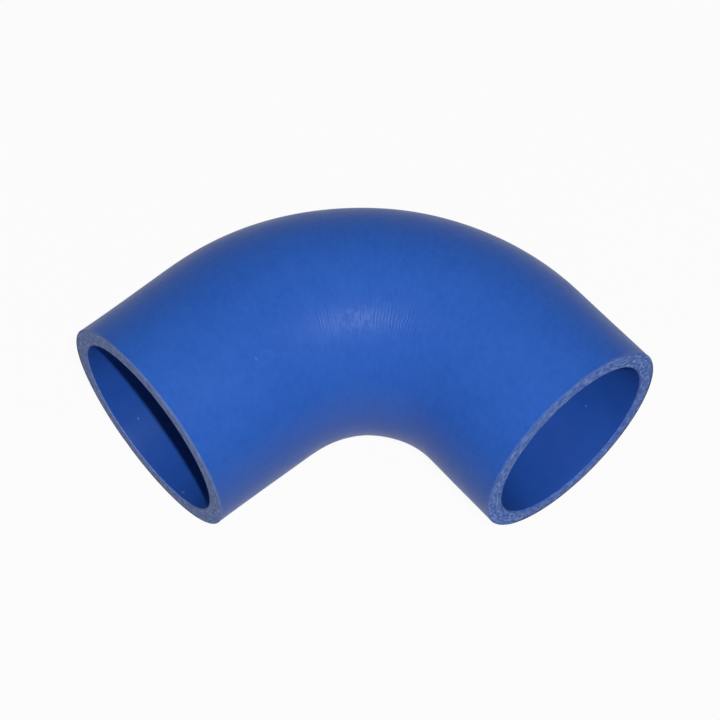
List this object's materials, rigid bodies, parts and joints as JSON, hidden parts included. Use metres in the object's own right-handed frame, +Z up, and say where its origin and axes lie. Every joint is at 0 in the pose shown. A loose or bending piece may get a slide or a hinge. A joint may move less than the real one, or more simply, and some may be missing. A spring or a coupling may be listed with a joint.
{
  "type": "silicone elbow hose",
  "caption": "Right-angle silicone elbow hose: a thick-walled moulded tube with straight legs and square-cut open ends that show its fabric plies.",
  "frame": {"origin": "on the surface that the hose lies on, under the middle of its bounding box", "axes": "+Z up, square to the plane of the bend; +X out of the right leg's cut end; -Y out of the left leg's cut end"},
  "size_m": [0.1292, 0.1348, 0.075],
  "materials": {
    "silicone": "blue satin silicone with faint wrap marks, and greyish cut ends that show fabric plies"
  },
  "bodies": {
    "root": {"elbow_hose": "silicone"}
  },
  "joints": []
}
